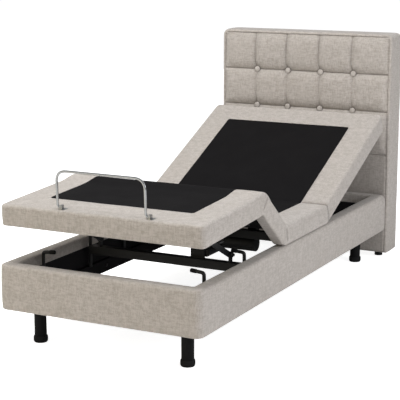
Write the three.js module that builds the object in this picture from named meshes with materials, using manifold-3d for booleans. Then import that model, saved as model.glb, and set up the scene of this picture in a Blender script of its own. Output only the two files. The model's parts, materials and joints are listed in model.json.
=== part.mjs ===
// Single adjustable bed base: an upholstered box on four legs, a headboard, and a four-section deck.
// Millimetres, +Z up, +Y to the headboard, origin under the middle of the footprint at floor level.
// Every piece is drawn with the deck lying flat, measured from the foot end, and then raised.
import * as THREE from 'three';
import { mergeVertices } from 'three/addons/utils/BufferGeometryUtils.js';
import Module from 'manifold-3d';

const wasm = await Module();
wasm.setup();

// ---------- driving dimensions ----------
const GAP = 0.3;                       // clearance between pieces that touch
const BED_WIDTH = 900;                 // standard single mattress width
const BOX_LENGTH = 2040;
const TOTAL_LENGTH = 2200;             // foot face to the back of the headboard
const BOX_BOTTOM = 150;
const BOX_TOP = 335;
const WALL = 60;                       // upholstered rail thickness
const CORNER_RADIUS = 35;

const LEG_RADIUS = 25;
const LEG_INSET_X = 335;
const LEG_FOOT_Y = 118;
const LEG_HEAD_Y = 1935;

const HEADBOARD_HALF_WIDTH = 460;
const HEADBOARD_BOTTOM = 30;
const HEADBOARD_TOP = 1130;
const HEADBOARD_FRONT = BOX_LENGTH + GAP;

const DECK_BOTTOM = 340;
const BOARD_BOTTOM = 400;
const BOARD_TOP = 425;
const RIM_WIDTH = 45;
const PANEL_HALF_WIDTH = 325;
const PANEL_THICKNESS = 2;

const BACK_PIVOT = { y: 1240, z: 420 };
const THIGH_PIVOT = { y: 795, z: 415 };
const KNEE_PIVOT = { y: 542, z: 352 };
const BACK_TILT = 24;                  // degrees above flat
const THIGH_TILT = 38.5;
const CALF_TILT = 2.8;                   // the foot end hangs this far below level

const STAY_PIVOT = { y: 545.4, z: 338.5 };
const STAY_LENGTH = 231;
const STAY_ANGLE = 27.34;              // above level, pointing to the foot
const STAY_X = 301;
const CALF_PIN = { y: -221, z: -67.7 };   // stay pin, from the knee pivot with the calf flat

const LEG_ROD_X = 160;
const LEG_ROD_Z = 331.5;
const LEG_LEVER_OFFSET = 20;           // lever angle past vertical with the deck flat
const BACK_ROD_X = 175;
const BACK_ROD_Z = 285;
const BACK_LEVER_OFFSET = -31;
const BACK_ROD_GAIN = 1.0822;          // makes the rod travel close to proportional over 0 to 62 degrees

const toRad = THREE.MathUtils.degToRad;

// ---------- materials ----------
function finish(color, roughness, metalness) {
  return new THREE.MeshStandardMaterial({ color, roughness, metalness });
}
const FABRIC = finish(0xb9b0a6, 0.95, 0);
const DECK_FABRIC = finish(0xbdb5ab, 0.95, 0);
const LINING = finish(0x1d1c1f, 0.9, 0);
const TIMBER = finish(0xb59a78, 0.8, 0);
const STEEL = finish(0x1b1b1d, 0.45, 0.3);
const ZINC = finish(0xa8a8a6, 0.35, 0.9);
const CHROME = finish(0xd9dadc, 0.12, 1);
const PLASTIC = finish(0x18181a, 0.5, 0);
const RUBBER = finish(0x151515, 0.85, 0);

// ---------- solids ----------
function box(x0, x1, y0, y1, z0, z1) {
  const g = new THREE.BoxGeometry(x1 - x0, y1 - y0, z1 - z0);
  return g.translate((x0 + x1) / 2, (y0 + y1) / 2, (z0 + z1) / 2);
}

function rod(from, to, radius, segments = 20) {
  const a = new THREE.Vector3(...from);
  const b = new THREE.Vector3(...to);
  const along = b.clone().sub(a);
  const g = new THREE.CylinderGeometry(radius, radius, along.length(), segments);
  const turn = new THREE.Quaternion().setFromUnitVectors(new THREE.Vector3(0, 1, 0), along.clone().normalize());
  g.applyQuaternion(turn);
  const middle = a.add(b).multiplyScalar(0.5);
  return g.translate(middle.x, middle.y, middle.z);
}

// A shape drawn in (x, y) and raised from z0 to z1 with a soft bevel on both faces.
function slabXY(shape, z0, z1, bevel = 0) {
  const g = new THREE.ExtrudeGeometry(shape, {
    depth: z1 - z0 - 2 * bevel,
    bevelEnabled: bevel > 0,
    bevelThickness: bevel,
    bevelSize: bevel,
    bevelOffset: -bevel,
    bevelSegments: 2,
    curveSegments: 6,
  });
  return g.translate(0, 0, z0 + bevel);
}

// A shape drawn in (x, z) and thickened from y0 to y1.
function slabXZ(shape, y0, y1, bevel = 0) {
  const g = slabXY(shape, -y1, -y0, bevel);
  return g.rotateX(Math.PI / 2);
}

// A shape drawn in (y, z) and thickened from x0 to x1.
function plateYZ(shape, x0, x1) {
  const g = new THREE.ExtrudeGeometry(shape, { depth: x1 - x0, bevelEnabled: false, curveSegments: 8 });
  const axes = new THREE.Matrix4().makeBasis(
    new THREE.Vector3(0, 1, 0),
    new THREE.Vector3(0, 0, 1),
    new THREE.Vector3(1, 0, 0),
  );
  return g.applyMatrix4(axes).translate(x0, 0, 0);
}

function roundedRect(x0, x1, y0, y1, radii) {
  const [a, b, c, d] = radii;          // corner radii, counter-clockwise from (x0, y0)
  const s = new THREE.Shape();
  s.moveTo(x0 + a, y0);
  s.lineTo(x1 - b, y0);
  if (b > 0) s.absarc(x1 - b, y0 + b, b, -Math.PI / 2, 0);
  s.lineTo(x1, y1 - c);
  if (c > 0) s.absarc(x1 - c, y1 - c, c, 0, Math.PI / 2);
  s.lineTo(x0 + d, y1);
  if (d > 0) s.absarc(x0 + d, y1 - d, d, Math.PI / 2, Math.PI);
  s.lineTo(x0, y0 + a);
  if (a > 0) s.absarc(x0 + a, y0 + a, a, Math.PI, 1.5 * Math.PI);
  return s;
}

// Outline with straight sides and round ends, as a Shape or as a hole.
function capsule(a, b, radius, Kind = THREE.Shape) {
  const heading = Math.atan2(b.z - a.z, b.y - a.y);
  const s = new Kind();
  s.absarc(b.y, b.z, radius, heading - Math.PI / 2, heading + Math.PI / 2);
  s.absarc(a.y, a.z, radius, heading + Math.PI / 2, heading + 1.5 * Math.PI);
  s.closePath();
  return s;
}

function roundHole(centre, radius) {
  const p = new THREE.Path();
  p.absarc(centre.y, centre.z, radius, 0, 2 * Math.PI);
  return p;
}

function polygon(points) {
  return new THREE.Shape(points.map(([y, z]) => new THREE.Vector2(y, z)));
}

// ---------- booleans ----------
function toManifold(geometry) {
  const g = geometry.clone();
  g.deleteAttribute('normal');
  g.deleteAttribute('uv');
  const welded = mergeVertices(g, 1e-4);
  const mesh = new wasm.Mesh({
    numProp: 3,
    vertProperties: new Float32Array(welded.attributes.position.array),
    triVerts: new Uint32Array(welded.index.array),
  });
  mesh.merge();
  return new wasm.Manifold(mesh);
}

function fromManifold(solid) {
  const mesh = solid.getMesh();
  const g = new THREE.BufferGeometry();
  g.setAttribute('position', new THREE.BufferAttribute(new Float32Array(mesh.vertProperties), 3));
  g.setIndex(new THREE.BufferAttribute(new Uint32Array(mesh.triVerts), 1));
  const flat = g.toNonIndexed();
  flat.computeVertexNormals();
  return flat;
}

function join(...geometries) {
  const solids = geometries.map(toManifold);
  return fromManifold(solids.reduce((sum, s) => sum.add(s)));
}

function cut(geometry, ...tools) {
  const body = toManifold(geometry);
  return fromManifold(tools.map(toManifold).reduce((left, t) => left.subtract(t), body));
}

// ---------- raising the deck ----------
function turnX(geometry, pivot, degrees) {
  return geometry.translate(0, -pivot.y, -pivot.z).rotateX(toRad(degrees)).translate(0, pivot.y, pivot.z);
}

function turnedPoint(point, pivot, degrees) {
  const c = Math.cos(toRad(degrees));
  const s = Math.sin(toRad(degrees));
  const dy = point.y - pivot.y;
  const dz = point.z - pivot.z;
  return { y: pivot.y + dy * c - dz * s, z: pivot.z + dy * s + dz * c };
}

const KNEE_RAISED = turnedPoint(KNEE_PIVOT, THIGH_PIVOT, -THIGH_TILT);

const POSE = {
  base: (g) => g,
  back: (g) => turnX(g, BACK_PIVOT, BACK_TILT),
  thigh: (g) => turnX(g, THIGH_PIVOT, -THIGH_TILT),
  calf: (g) => turnX(g, KNEE_PIVOT, CALF_TILT)
    .translate(0, KNEE_RAISED.y - KNEE_PIVOT.y, KNEE_RAISED.z - KNEE_PIVOT.z),
};

const group = new THREE.Group();
group.name = 'adjustable_bed_base';

function add(name, geometry, material, body = 'base') {
  const placed = POSE[body](geometry).translate(0, -TOTAL_LENGTH / 2, 0);
  const mesh = new THREE.Mesh(placed, material);
  mesh.name = name;
  group.add(mesh);
}

const SIDES = [['left', -1], ['right', 1]];

// The same span on either side of the middle: inner and outer distance become x0 and x1.
function span(side, inner, outer) {
  return side < 0 ? [-outer, -inner] : [inner, outer];
}

// ---------- upholstered box ----------
const half = BED_WIDTH / 2;
for (const [label, side] of SIDES) {
  const [x0, x1] = span(side, half - WALL, half);
  const rail = roundedRect(x0, x1, WALL + GAP, BOX_LENGTH - WALL - GAP, [0, 0, 0, 0]);
  add(`side_rail_${label}`, slabXY(rail, BOX_BOTTOM, BOX_TOP, 6), FABRIC);
}
const footShape = roundedRect(-half, half, 0, WALL, [CORNER_RADIUS, CORNER_RADIUS, 0, 0]);
add('foot_rail', slabXY(footShape, BOX_BOTTOM, BOX_TOP, 6), FABRIC);
const headShape = roundedRect(-half, half, BOX_LENGTH - WALL, BOX_LENGTH, [0, 0, 0, 0]);
add('head_rail', slabXY(headShape, BOX_BOTTOM, BOX_TOP, 6), FABRIC);

const BATTEN_BOTTOM = 156;
const BATTEN_TOP = 205;
for (const [label, side] of SIDES) {
  const [x0, x1] = span(side, 375, half - WALL - GAP);
  let batten = box(x0, x1, WALL + 1, BOX_LENGTH - WALL - 1, BOX_BOTTOM + 0.5, BATTEN_TOP);
  for (const y of [LEG_FOOT_Y, LEG_HEAD_Y]) {
    batten = cut(batten, box(x0 - 1, x1 + 1, y - 43, y + 43, BOX_BOTTOM, BATTEN_BOTTOM));
  }
  add(`batten_${label}`, batten, LINING);
}

// ---------- legs: tube, foot cap and the plate that screws up under the batten ----------
function leg(side, y) {
  const profile = [
    [0, 0], [26, 0], [28, 3], [28, 22], [25.5, 25.5], [LEG_RADIUS, 26], [LEG_RADIUS, 152], [0, 152],
  ].map(([r, z]) => new THREE.Vector2(r, z));
  const tube = new THREE.LatheGeometry(profile, 28).rotateX(Math.PI / 2).translate(side * LEG_INSET_X, y, 0);
  const [x0, x1] = span(side, LEG_INSET_X - 38, half - WALL - GAP);
  return join(tube, box(x0, x1, y - 42, y + 42, 150.5, BATTEN_BOTTOM - GAP));
}
for (const [label, side] of SIDES) {
  add(`leg_foot_${label}`, leg(side, LEG_FOOT_Y), STEEL);
  add(`leg_head_${label}`, leg(side, LEG_HEAD_Y), STEEL);
}

// ---------- headboard ----------
const boardOutline = roundedRect(
  -HEADBOARD_HALF_WIDTH, HEADBOARD_HALF_WIDTH, HEADBOARD_BOTTOM, HEADBOARD_TOP, [0, 0, 28, 28],
);
add('headboard', slabXZ(boardOutline, HEADBOARD_FRONT, TOTAL_LENGTH, 14), FABRIC);
for (const [label, side] of SIDES) {
  const x = side * 395;
  add(`headboard_glide_${label}`, rod([x, 2120, 0], [x, 2120, HEADBOARD_BOTTOM - GAP], 20), PLASTIC);
}

// ---------- deck sections: a board on two side members, closed by an end member ----------
const FOLD_GAP = 5.5;
const KNEE_GAP = 8;
const SECTIONS = {
  calf: { y0: 9, y1: KNEE_PIVOT.y - KNEE_GAP, bottom: DECK_BOTTOM, end: 'low' },
  thigh: { y0: KNEE_PIVOT.y + KNEE_GAP, y1: THIGH_PIVOT.y - FOLD_GAP, bottom: DECK_BOTTOM, end: null },
  seat: { y0: THIGH_PIVOT.y + FOLD_GAP, y1: BACK_PIVOT.y - FOLD_GAP, bottom: BOX_TOP + GAP, end: null },
  back: { y0: BACK_PIVOT.y + FOLD_GAP, y1: 2030, bottom: DECK_BOTTOM, end: 'high' },
};
for (const [name, s] of Object.entries(SECTIONS)) {
  const body = name === 'seat' ? 'base' : name;
  const low = s.end === 'low' ? 25 : 0;
  const high = s.end === 'high' ? 25 : 0;
  const outline = roundedRect(-half, half, s.y0, s.y1, [low, low, high, high]);
  add(`${name}_board`, slabXY(outline, BOARD_BOTTOM, BOARD_TOP), DECK_FABRIC, body);
  for (const [label, side] of SIDES) {
    const [x0, x1] = span(side, half - RIM_WIDTH, half);
    const radii = [0, 0, 0, 0];
    if (s.end === 'low') radii[side < 0 ? 0 : 1] = 25;
    if (s.end === 'high') radii[side < 0 ? 3 : 2] = 25;
    const member = roundedRect(x0, x1, s.y0, s.y1, radii);
    add(`${name}_side_${label}`, slabXY(member, s.bottom, BOARD_BOTTOM - GAP), DECK_FABRIC, body);
  }
  if (s.end) {
    const inner = half - RIM_WIDTH - GAP;
    const y0 = s.end === 'low' ? s.y0 : s.y1 - RIM_WIDTH;
    const member = box(-inner, inner, y0, y0 + RIM_WIDTH, s.bottom, BOARD_BOTTOM - GAP);
    add(`${name}_end_member`, member, DECK_FABRIC, body);
  }
}

// Black non-slip panel let into the top of each section, continuous across the folds.
const PANELS = {
  calf: { y0: 172, y1: SECTIONS.calf.y1 - 1, radii: [18, 18, 0, 0] },
  thigh: { y0: SECTIONS.thigh.y0 + 1, y1: SECTIONS.thigh.y1 - 1, radii: [0, 0, 0, 0] },
  seat: { y0: SECTIONS.seat.y0 + 1, y1: SECTIONS.seat.y1 - 1, radii: [0, 0, 0, 0] },
  back: { y0: SECTIONS.back.y0 + 1, y1: 1893, radii: [0, 0, 10, 10] },
};
for (const [name, p] of Object.entries(PANELS)) {
  const sheet = roundedRect(-PANEL_HALF_WIDTH, PANEL_HALF_WIDTH, p.y0, p.y1, p.radii);
  const z = BOARD_TOP + GAP;
  add(`${name}_panel`, slabXY(sheet, z, z + PANEL_THICKNESS), LINING, name === 'seat' ? 'base' : name);
}

// ---------- fold hinges ----------
const HINGE_HALF = 290;

// One leaf: a flange under the board, a riser against its end, and knuckles round the pivot.
// side is -1 for the leaf towards the foot; even or odd knuckles alternate between the two leaves.
function hingeLeaf(pivot, side, gap, odd) {
  const face = pivot.y + side * (gap - GAP);
  const inner = face - side * 2.5;
  const yRiser = [Math.min(face, inner), Math.max(face, inner)];
  const flangeEnd = face + side * 40;
  const yFlange = [Math.min(inner, flangeEnd), Math.max(inner, flangeEnd)];
  const low = pivot.z < BOARD_BOTTOM;
  const underBoard = BOARD_BOTTOM - GAP;
  const zRiser = low ? [pivot.z + 6, underBoard] : [underBoard - 3, pivot.z - 5.5];
  const parts = [
    box(-HINGE_HALF, HINGE_HALF, ...yFlange, underBoard - 3, underBoard),
    box(-HINGE_HALF, HINGE_HALF, ...yRiser, ...zRiser),
  ];
  const count = 7;
  const pitch = (2 * HINGE_HALF) / count;
  for (let i = odd ? 1 : 0; i < count; i += 2) {
    const x0 = -HINGE_HALF + i * pitch + 1;
    const x1 = x0 + pitch - 2;
    const neck = [Math.min(face, pivot.y), Math.max(face, pivot.y)];
    const zNeck = low ? [pivot.z, pivot.z + 9] : [pivot.z - 8, pivot.z];
    parts.push(rod([x0, pivot.y, pivot.z], [x1, pivot.y, pivot.z], 4.5, 12));
    parts.push(box(x0, x1, ...neck, ...zNeck));
  }
  return join(...parts);
}
add('back_hinge_leaf_seat', hingeLeaf(BACK_PIVOT, -1, FOLD_GAP, false), STEEL);
add('back_hinge_leaf_back', hingeLeaf(BACK_PIVOT, 1, FOLD_GAP, true), STEEL, 'back');
add('thigh_hinge_leaf_thigh', hingeLeaf(THIGH_PIVOT, -1, FOLD_GAP, true), STEEL, 'thigh');
add('thigh_hinge_leaf_seat', hingeLeaf(THIGH_PIVOT, 1, FOLD_GAP, false), STEEL);
add('knee_hinge_leaf_calf', hingeLeaf(KNEE_PIVOT, -1, KNEE_GAP, true), STEEL, 'calf');
add('knee_hinge_leaf_thigh', hingeLeaf(KNEE_PIVOT, 1, KNEE_GAP, false), STEEL, 'thigh');

// ---------- chrome mattress retainer across the foot end ----------
const BAR_Y = 39;
const BAR_HALF = 195;
const BAR_RADIUS = 5;
const BAR_FOOT_Z = 434;
const BAR_TOP_Z = 578;
const BAR_CORNER = 45;
const FOOT_BEND = 9;
const FOOT_REACH = 24;

function retainerBar() {
  const at = (x, z) => new THREE.Vector3(x, BAR_Y, z);
  const path = new THREE.CurvePath();
  const line = (a, b) => path.add(new THREE.LineCurve3(a, b));
  const bend = (a, b, c) => path.add(new THREE.QuadraticBezierCurve3(a, b, c));
  const foot = (x) => {
    line(at(x + FOOT_REACH, BAR_FOOT_Z), at(x + FOOT_BEND, BAR_FOOT_Z));
    bend(at(x + FOOT_BEND, BAR_FOOT_Z), at(x, BAR_FOOT_Z), at(x, BAR_FOOT_Z + FOOT_BEND));
  };
  foot(-BAR_HALF);
  line(at(-BAR_HALF, BAR_FOOT_Z + FOOT_BEND), at(-BAR_HALF, BAR_TOP_Z - BAR_CORNER));
  bend(at(-BAR_HALF, BAR_TOP_Z - BAR_CORNER), at(-BAR_HALF, BAR_TOP_Z), at(-BAR_HALF + BAR_CORNER, BAR_TOP_Z));
  line(at(-BAR_HALF + BAR_CORNER, BAR_TOP_Z), at(BAR_HALF - BAR_CORNER, BAR_TOP_Z));
  bend(at(BAR_HALF - BAR_CORNER, BAR_TOP_Z), at(BAR_HALF, BAR_TOP_Z), at(BAR_HALF, BAR_TOP_Z - BAR_CORNER));
  line(at(BAR_HALF, BAR_TOP_Z - BAR_CORNER), at(BAR_HALF, BAR_FOOT_Z + FOOT_BEND));
  bend(at(BAR_HALF, BAR_FOOT_Z + FOOT_BEND), at(BAR_HALF, BAR_FOOT_Z), at(BAR_HALF + FOOT_BEND, BAR_FOOT_Z));
  line(at(BAR_HALF + FOOT_BEND, BAR_FOOT_Z), at(BAR_HALF + FOOT_REACH, BAR_FOOT_Z));
  const circle = new THREE.Shape();
  circle.absarc(0, 0, BAR_RADIUS, 0, 2 * Math.PI);
  return new THREE.ExtrudeGeometry(circle, { steps: 72, extrudePath: path, curveSegments: 5 });
}
add('retainer_bar', retainerBar(), CHROME, 'calf');
for (const [label, side] of SIDES) {
  const x = side * BAR_HALF + 11;
  const plate = box(x - 1, x + 26, BAR_Y - 16, BAR_Y + 16, BOARD_TOP + GAP, BOARD_TOP + 3);
  const block = box(x + 1, x + 12, BAR_Y - 9, BAR_Y + 9, BOARD_TOP + 2, BAR_FOOT_Z + 9);
  const bore = rod([x - 20, BAR_Y, BAR_FOOT_Z], [x + 40, BAR_Y, BAR_FOOT_Z], BAR_RADIUS + GAP);
  add(`retainer_bracket_${label}`, cut(join(plate, block), bore), ZINC, 'calf');
}

// ---------- fixed under-frame ----------
const CROSSBAR = { y0: 532, y1: 567, z0: 270, z1: 305 };
const PIN_RADIUS = 5;
const LINK_THICKNESS = 5;

function crossbarFront() {
  const parts = [box(-358, 358, CROSSBAR.y0, CROSSBAR.y1, CROSSBAR.z0, CROSSBAR.z1)];
  for (const [, side] of SIDES) {
    const lug = capsule({ y: STAY_PIVOT.y, z: CROSSBAR.z1 - 10 }, STAY_PIVOT, 13);
    const [x0, x1] = span(side, STAY_X + 4, STAY_X + 10);
    parts.push(plateYZ(lug, x0, x1));
    const [p0, p1] = span(side, STAY_X - 6, STAY_X + 5);
    parts.push(rod([p0, STAY_PIVOT.y, STAY_PIVOT.z], [p1, STAY_PIVOT.y, STAY_PIVOT.z], PIN_RADIUS));
  }
  parts.push(box(118, 182, 560, 566, CROSSBAR.z1 - 5, 352));
  return join(...parts);
}
add('crossbar_front', crossbarFront(), STEEL);

function restRod(side, y) {
  const x = side * 367;
  const upright = rod([x, y, BATTEN_TOP + GAP], [x, y, 356], 8);
  const arm = rod([x, y, 356], [side * 330, y, 359], 8);
  const elbow = new THREE.SphereGeometry(8, 14, 8).translate(x, y, 356);
  const tip = rod([side * 335, y, 358.6], [side * 308, y, 360.8], 10.5);
  return join(upright, elbow, arm, tip);
}
for (const [label, side] of SIDES) {
  add(`rest_rod_foot_${label}`, restRod(side, 195), STEEL);
  add(`rest_rod_knee_${label}`, restRod(side, 555), STEEL);
}

const SEAT_BAR = { y0: 846, y1: 878, z0: BOX_TOP + GAP, z1: 370 };
add('seat_crossbar', box(-403, 403, SEAT_BAR.y0, SEAT_BAR.y1, SEAT_BAR.z0, SEAT_BAR.z1), STEEL);
for (const [label, side] of SIDES) {
  const [x0, x1] = span(side, 374.4, 388);
  add(`seat_post_${label}`, box(x0, x1, 852, 872, BATTEN_TOP + GAP, BOX_TOP), STEEL);
}

// ---------- stay links that hold the calf section close to level ----------
const stayDirection = { y: -Math.cos(toRad(STAY_ANGLE)), z: Math.sin(toRad(STAY_ANGLE)) };
const STAY_END = {
  y: STAY_PIVOT.y + STAY_LENGTH * stayDirection.y,
  z: STAY_PIVOT.z + STAY_LENGTH * stayDirection.z,
};
for (const [label, side] of SIDES) {
  const link = capsule(STAY_PIVOT, STAY_END, 12);
  link.holes.push(roundHole(STAY_PIVOT, PIN_RADIUS + GAP));
  const [x0, x1] = span(side, STAY_X - LINK_THICKNESS / 2, STAY_X + LINK_THICKNESS / 2);
  const [p0, p1] = span(side, STAY_X - 12, STAY_X);
  const pin = rod([p0, STAY_END.y, STAY_END.z], [p1, STAY_END.y, STAY_END.z], PIN_RADIUS);
  add(`stay_link_${label}`, join(plateYZ(link, x0, x1), pin), STEEL);
}

// Bracket under the calf board; its hole is 1 mm larger in radius than the stay's pin.
for (const [label, side] of SIDES) {
  const hole = { y: KNEE_PIVOT.y + CALF_PIN.y, z: KNEE_PIVOT.z + CALF_PIN.z };
  const top = BOARD_BOTTOM - GAP;
  const outline = polygon([
    [hole.y - 55, top], [hole.y - 55, top - 8], [hole.y - 16, hole.z - 4], [hole.y - 9, hole.z - 14],
    [hole.y + 9, hole.z - 14], [hole.y + 16, hole.z - 4], [hole.y + 55, top - 8], [hole.y + 55, top],
  ]);
  outline.holes.push(roundHole(hole, PIN_RADIUS + 1));
  const [x0, x1] = span(side, STAY_X - 10, STAY_X - 5);
  const [f0, f1] = span(side, STAY_X - 34, STAY_X - 6);
  const flange = box(f0, f1, hole.y - 55, hole.y + 55, top - 4, top);
  add(`calf_bracket_${label}`, join(plateYZ(outline, x0, x1), flange), STEEL, 'calf');
}

// ---------- leg actuator: tube, motor and rod, pulling a lever under the thigh section ----------
const LEG_LEVER_DROP = THIGH_PIVOT.z - LEG_ROD_Z;
const LEG_ROD_TRAVEL = LEG_LEVER_DROP * Math.tan(toRad(LEG_LEVER_OFFSET));
const legPinY = THIGH_PIVOT.y + LEG_ROD_TRAVEL * (1 - THIGH_TILT / LEG_LEVER_OFFSET);

function slottedLever(pivot, drop, offset, slotHalf, slack, x0, x1, foot) {
  const low = turnedPoint({ y: pivot.y, z: pivot.z - drop }, pivot, offset);
  const reach = Math.hypot(low.y - pivot.y, low.z - pivot.z);
  const along = { y: (low.y - pivot.y) / reach, z: (low.z - pivot.z) / reach };
  const point = (r) => ({ y: pivot.y + along.y * r, z: pivot.z + along.z * r });
  const from = point(reach - slotHalf[0]);
  const to = point(reach + slotHalf[1]);
  const radius = PIN_RADIUS + slack;
  const top = BOARD_BOTTOM - GAP;
  const arm = plateYZ(capsule(from, to, radius + 9), x0, x1);
  const middle = { y: (foot[0] + foot[1]) / 2, z: top - 15 };
  const stem = plateYZ(capsule(middle, from, 14), x0, x1);
  const base = box(x0 - 22, x1, foot[0], foot[1], top - 4, top);
  const riser = box(x0, x1, foot[0], foot[1], top - 16, top);
  const slot = plateYZ(capsule(from, to, radius), x0 - 1, x1 + 1);
  return cut(join(arm, stem, riser, base), slot);
}
add(
  'thigh_lever',
  slottedLever(THIGH_PIVOT, LEG_LEVER_DROP, LEG_LEVER_OFFSET, [3, 8], 1.2, 144, 149, [690, 745]),
  STEEL,
  'thigh',
);
const legTube = rod([LEG_ROD_X, 566 + GAP, LEG_ROD_Z], [LEG_ROD_X, 700, LEG_ROD_Z], 11);
const legBore = rod([LEG_ROD_X, 600, LEG_ROD_Z], [LEG_ROD_X, 710, LEG_ROD_Z], 7 + GAP);
add('leg_actuator_tube', cut(legTube, legBore), ZINC);
const motorX = LEG_ROD_X + 11 + 16 + GAP;
add('leg_actuator_motor', rod([motorX, 566 + GAP, 326], [motorX, 690, 326], 15.5, 28), PLASTIC);
add(
  'leg_actuator_rod',
  join(
    rod([LEG_ROD_X, legPinY - 140, LEG_ROD_Z], [LEG_ROD_X, legPinY + 10, LEG_ROD_Z], 7),
    rod([139, legPinY, LEG_ROD_Z], [LEG_ROD_X, legPinY, LEG_ROD_Z], PIN_RADIUS),
  ),
  ZINC,
);

// ---------- back actuator: housing under the seat, pushing a lever under the back section ----------
const BACK_LEVER_DROP = BACK_PIVOT.z - BACK_ROD_Z;
const backPinY = BACK_PIVOT.y + BACK_LEVER_DROP * BACK_ROD_GAIN * toRad(BACK_TILT + BACK_LEVER_OFFSET);
add(
  'back_lever',
  slottedLever(BACK_PIVOT, BACK_LEVER_DROP, BACK_LEVER_OFFSET, [4, 26], 2.4, 158, 163, [1290, 1350]),
  STEEL,
  'back',
);
const motor = rod([20, 966, BACK_ROD_Z], [232, 966, BACK_ROD_Z], 34, 32);
const gearbox = rod([BACK_ROD_X, 966, BACK_ROD_Z], [BACK_ROD_X, 1130, BACK_ROD_Z], 19, 24);
const hanger = box(156, 194, 1040, 1078, BACK_ROD_Z + 8, BOARD_BOTTOM - GAP);
const backBore = rod([BACK_ROD_X, 945, BACK_ROD_Z], [BACK_ROD_X, 1140, BACK_ROD_Z], 8 + GAP);
add('back_motor_housing', cut(join(motor, gearbox, hanger), backBore), PLASTIC);
add(
  'back_actuator_rod',
  join(
    rod([BACK_ROD_X, backPinY - 192, BACK_ROD_Z], [BACK_ROD_X, backPinY + 11, BACK_ROD_Z], 8),
    rod([153, backPinY, BACK_ROD_Z], [BACK_ROD_X, backPinY, BACK_ROD_Z], PIN_RADIUS),
  ),
  ZINC,
);

export default group;
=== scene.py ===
import json
import math

import bmesh
import bpy
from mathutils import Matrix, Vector, noise

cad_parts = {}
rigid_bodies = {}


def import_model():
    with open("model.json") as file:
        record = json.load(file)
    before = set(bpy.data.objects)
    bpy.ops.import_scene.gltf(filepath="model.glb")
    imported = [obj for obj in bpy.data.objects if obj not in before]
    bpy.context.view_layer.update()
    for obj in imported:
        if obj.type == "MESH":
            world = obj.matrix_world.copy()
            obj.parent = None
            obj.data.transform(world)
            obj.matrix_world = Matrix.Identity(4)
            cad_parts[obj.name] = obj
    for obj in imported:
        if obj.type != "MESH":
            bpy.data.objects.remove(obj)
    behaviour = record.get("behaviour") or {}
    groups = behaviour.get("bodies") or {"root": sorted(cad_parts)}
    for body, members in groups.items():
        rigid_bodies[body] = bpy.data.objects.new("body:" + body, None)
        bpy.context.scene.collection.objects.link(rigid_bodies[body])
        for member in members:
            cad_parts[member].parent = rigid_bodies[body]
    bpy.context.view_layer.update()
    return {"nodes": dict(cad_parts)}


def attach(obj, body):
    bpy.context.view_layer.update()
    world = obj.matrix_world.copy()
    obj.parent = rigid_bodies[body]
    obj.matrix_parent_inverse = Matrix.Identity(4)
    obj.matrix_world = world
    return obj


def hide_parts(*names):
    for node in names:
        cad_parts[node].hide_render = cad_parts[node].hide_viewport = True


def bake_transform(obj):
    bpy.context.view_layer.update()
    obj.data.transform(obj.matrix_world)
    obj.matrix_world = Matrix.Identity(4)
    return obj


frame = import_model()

# ---------------------------------------------------------------- dimensions (metres, in the frame's axes)
# Distances along the deck are measured on the flat deck, from the foot face towards the head.
FOOT = -1.1                      # y of the foot face
HALF = 0.450                     # half the bed's width
DECK_FOOT, DECK_HEAD = 0.009, 2.030
DECK_TOP = 0.4275
DECK_BOTTOM = 0.3400
CEILING = 0.3975                 # underside of the deck boards
RIM = 0.046                      # width of the border seen from below
PANEL_HALF = 0.325
PANEL_FOOT, PANEL_HEAD = 0.1725, 1.8925
PANEL_LOW, PANEL_TOP = 0.4256, 0.4277
POCKET_HALF = 0.3255             # shallow pocket in the cover that the black panel lies in
POCKET_FOOT, POCKET_HEAD = 0.172, 1.893
POCKET_FLOOR = 0.4252
BORDER_MID = 0.385               # x of the fabric border's middle, beside the panel
BORDER_SPAN = 0.06
BACK_PIVOT = (1.240, 0.420)      # flat distance and height
THIGH_PIVOT = (0.795, 0.415)
KNEE_PIVOT = (0.542, 0.352)
MID_SEAT = 1.020                 # where two covers meet, halfway between folds
MID_THIGH = 0.668
BACK_TILT = 24.0                 # degrees from flat to rest
THIGH_TILT = -38.5
KNEE_FOLD = 41.3
HEAD_FRONT = 0.9403
HEAD_BACK = 1.1
HEAD_HALF = 0.460
HEAD_TOP = 1.130
HEAD_BOTTOM = 0.030


# ---------------------------------------------------------------- materials
def new_material(name):
    m = bpy.data.materials.new(name)
    m.use_nodes = True
    return m, m.node_tree.nodes, m.node_tree.links, m.node_tree.nodes["Principled BSDF"]


def noise_node(nodes, links, coords, scale, detail=2.0, stretch=(1, 1, 1)):
    mapping = nodes.new("ShaderNodeMapping")
    mapping.inputs["Scale"].default_value = stretch
    links.new(coords.outputs["Object"], mapping.inputs["Vector"])
    n = nodes.new("ShaderNodeTexNoise")
    n.inputs["Scale"].default_value = scale
    n.inputs["Detail"].default_value = detail
    links.new(mapping.outputs["Vector"], n.inputs["Vector"])
    return n.outputs["Fac"]


def math_node(nodes, links, op, a, b=None, c=None):
    n = nodes.new("ShaderNodeMath")
    n.operation = op
    for i, v in enumerate((a, b, c)):
        if v is None:
            continue
        if isinstance(v, (int, float)):
            n.inputs[i].default_value = v
        else:
            links.new(v, n.inputs[i])
    return n.outputs[0]


def weave_height(nodes, links, coords, pitch):
    """A plain weave read from the position: threads of one pitch along each axis, summed."""
    split = nodes.new("ShaderNodeSeparateXYZ")
    links.new(coords.outputs["Object"], split.inputs[0])
    k = 2 * math.pi / pitch
    waves = []
    for axis in "XYZ":
        angle = math_node(nodes, links, "MULTIPLY", split.outputs[axis], k)
        waves.append(math_node(nodes, links, "SINE", angle))
    total = math_node(nodes, links, "ADD", waves[0], waves[1])
    return math_node(nodes, links, "ADD", total, waves[2])


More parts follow.
